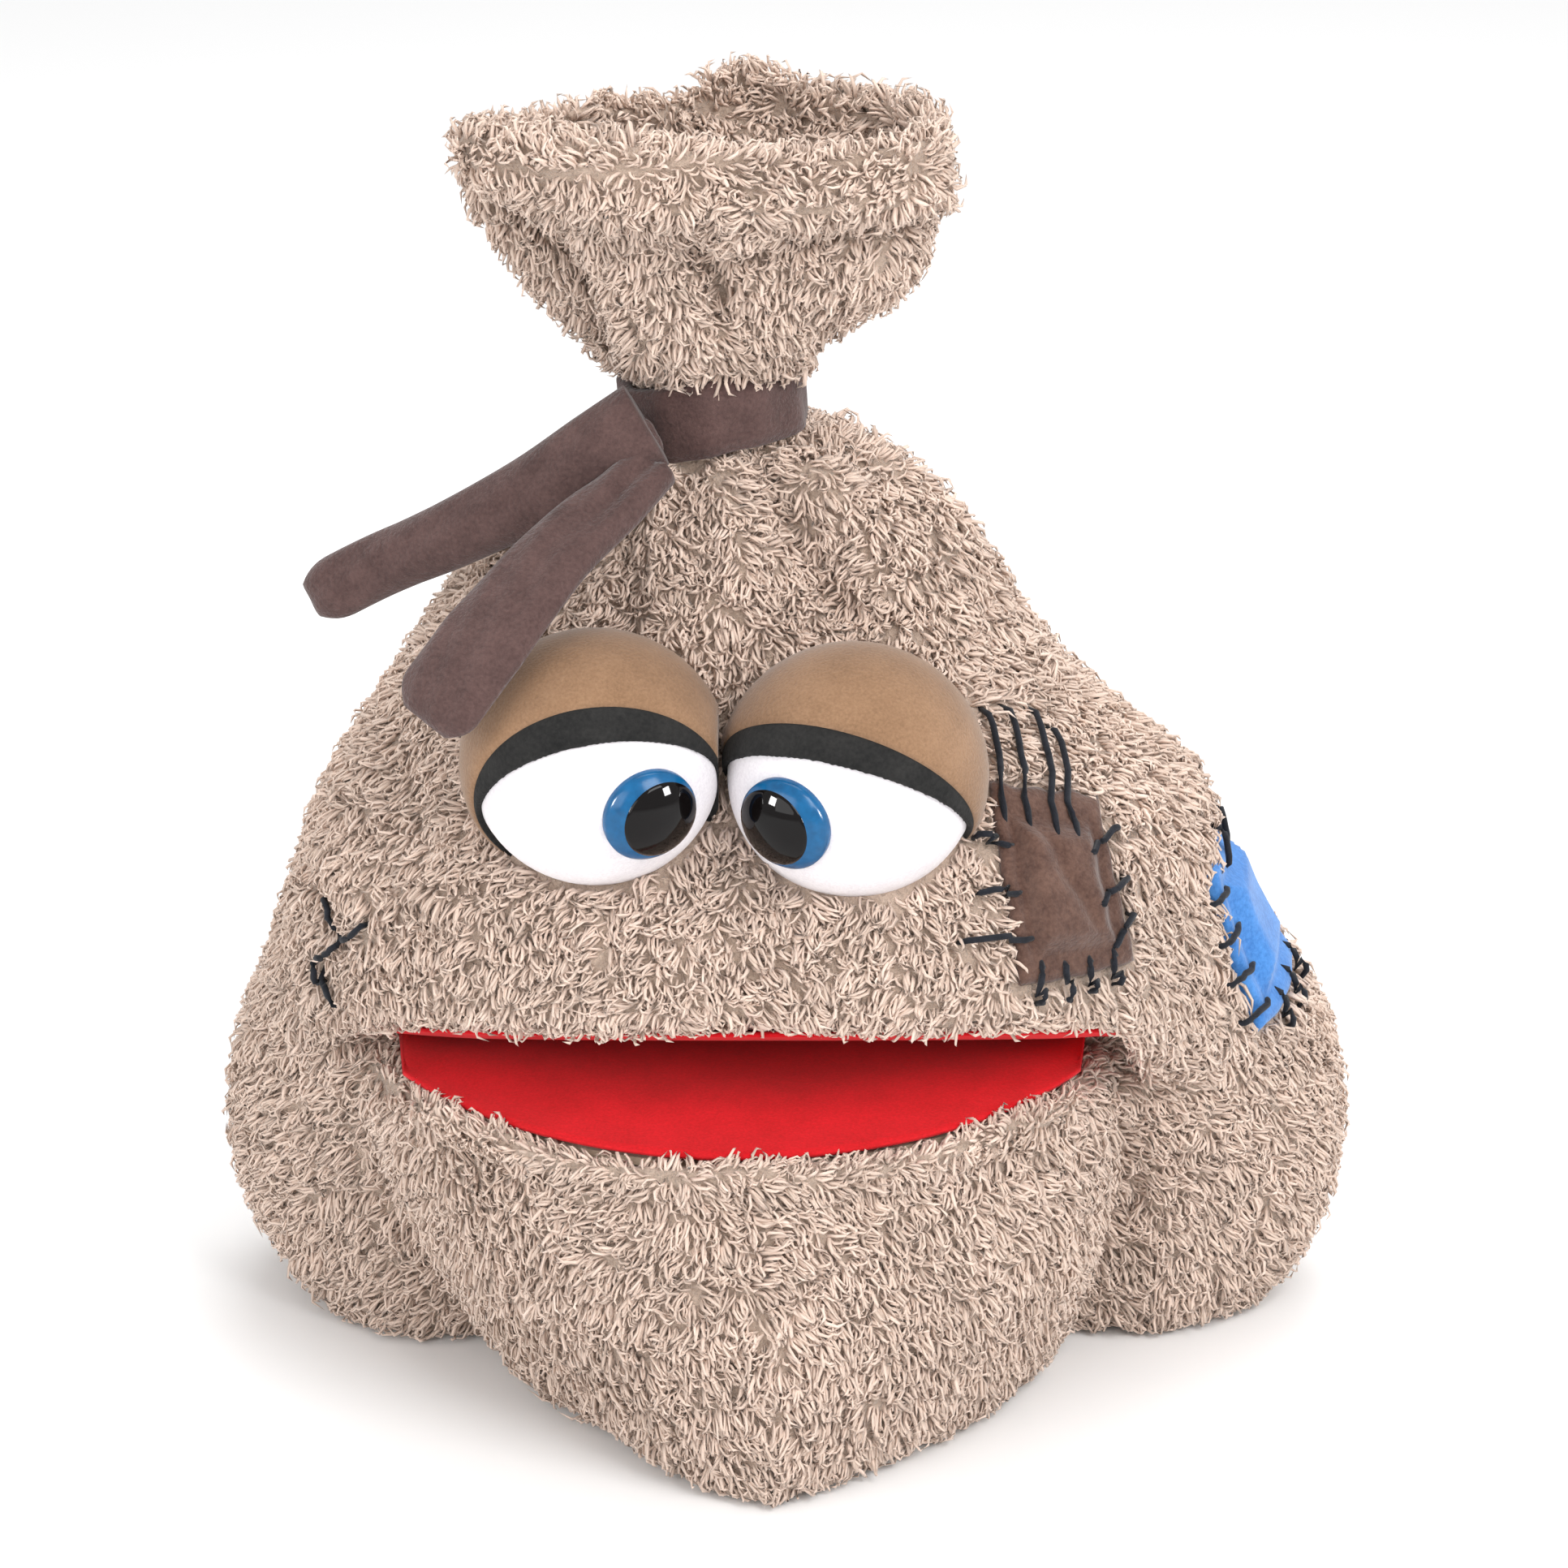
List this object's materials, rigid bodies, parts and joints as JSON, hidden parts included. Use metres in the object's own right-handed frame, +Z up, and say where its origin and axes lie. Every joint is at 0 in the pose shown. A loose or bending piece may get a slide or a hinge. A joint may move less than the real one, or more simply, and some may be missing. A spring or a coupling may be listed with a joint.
{
  "type": "plush sack hand puppet",
  "caption": "Plush hand puppet shaped like a tied sack, with a hinged velour mouth, stuffed eyes, a gathered neck with a tie and a flared ruff.",
  "frame": {"origin": "middle of the puppet's box on the surface it sits on", "axes": "+Z up, the face looks along -Y, +X to the right as seen from the front; left and right in names are as seen from the front"},
  "size_m": [0.2854, 0.1911, 0.337],
  "materials": {
    "beige_plush": "long curly terry pile",
    "base_cloth": "woven backing cloth",
    "stuffing": "polyester fibre",
    "lining_cloth": "thin woven lining",
    "red_velour": "short velour",
    "stiffener_board": "matte",
    "white_velour": "short velour",
    "tan_velour": "short velour",
    "black_felt": "felt",
    "blue_iris": "gloss",
    "dark_pupil": "gloss",
    "clear_plastic": "clear gloss",
    "eye_fitting": "moulded",
    "brown_felt": "ribbed felt tape",
    "brown_patch": "velour patch",
    "blue_patch": "velour patch",
    "black_thread": "thick thread"
  },
  "bodies": {
    "sack": {"base_panel": "base_cloth", "sack_front": "beige_plush", "sack_back": "beige_plush", "sack_side_left": "beige_plush", "sack_side_right": "beige_plush", "under_chin_panel": "beige_plush", "chin_skirt": "beige_plush", "hand_sleeve": "lining_cloth", "sleeve_hem": "lining_cloth", "upper_palate": "red_velour", "upper_mouth_board": "stiffener_board", "finger_pocket": "lining_cloth", "cheek_filling_left": "stuffing", "cheek_filling_right": "stuffing", "back_filling": "stuffing", "muzzle_filling": "stuffing", "upper_lip_filling": "stuffing", "under_mouth_filling": "stuffing", "forehead_filling": "stuffing", "eyelid_left": "tan_velour", "lash_band_left": "black_felt", "eyeball_left": "white_velour", "iris_left": "blue_iris", "pupil_left": "dark_pupil", "eye_lens_left": "clear_plastic", "eye_stem_left": "eye_fitting", "eye_washer_left": "eye_fitting", "eyelid_right": "tan_velour", "lash_band_right": "black_felt", "eyeball_right": "white_velour", "iris_right": "blue_iris", "pupil_right": "dark_pupil", "eye_lens_right": "clear_plastic", "eye_stem_right": "eye_fitting", "eye_washer_right": "eye_fitting", "neck_gather": "beige_plush", "neck_band": "brown_felt", "tie_knot": "brown_felt", "cheek_patch": "brown_patch", "cheek_patch_stitches": "black_thread", "side_patch": "blue_patch", "side_patch_stitches": "black_thread", "scar_stitches": "black_thread"},
    "jaw": {"chin_panel": "beige_plush", "lower_palate": "red_velour", "lower_mouth_board": "stiffener_board", "thumb_pocket": "lining_cloth", "jaw_filling": "stuffing"},
    "ruff": {"ruff_panels": "beige_plush", "ruff_hem": "beige_plush"},
    "tail_upper": {"tie_tail_upper": "brown_felt"},
    "tail_lower": {"tie_tail_lower": "brown_felt"}
  },
  "joints": [
    {"name": "mouth_fold", "type": "hinge", "parent": "sack", "child": "jaw", "pos_m": [0, -0.015, 0.095], "axis": [1, 0, 0], "range_deg": [-24, 14], "stiffness_Nm_per_rad": 0.8, "springref_deg": -1.72},
    {"name": "ruff_rock", "type": "hinge", "parent": "sack", "child": "ruff", "pos_m": [-0.018, 0.01, 0.257], "axis": [1, 0, 0], "range_deg": [-20, 20], "stiffness_Nm_per_rad": 0.6},
    {"name": "upper_tail_swing", "type": "hinge", "parent": "sack", "child": "tail_upper", "pos_m": [-0.04, -0.016, 0.25], "axis": [0, 1, 0], "range_deg": [-5, 40], "stiffness_Nm_per_rad": 0.15, "springref_deg": 0.57},
    {"name": "lower_tail_lift", "type": "hinge", "parent": "sack", "child": "tail_lower", "pos_m": [-0.038, -0.024, 0.25], "axis": [1, 0, 0], "range_deg": [-50, 0], "stiffness_Nm_per_rad": 0.15}
  ]
}
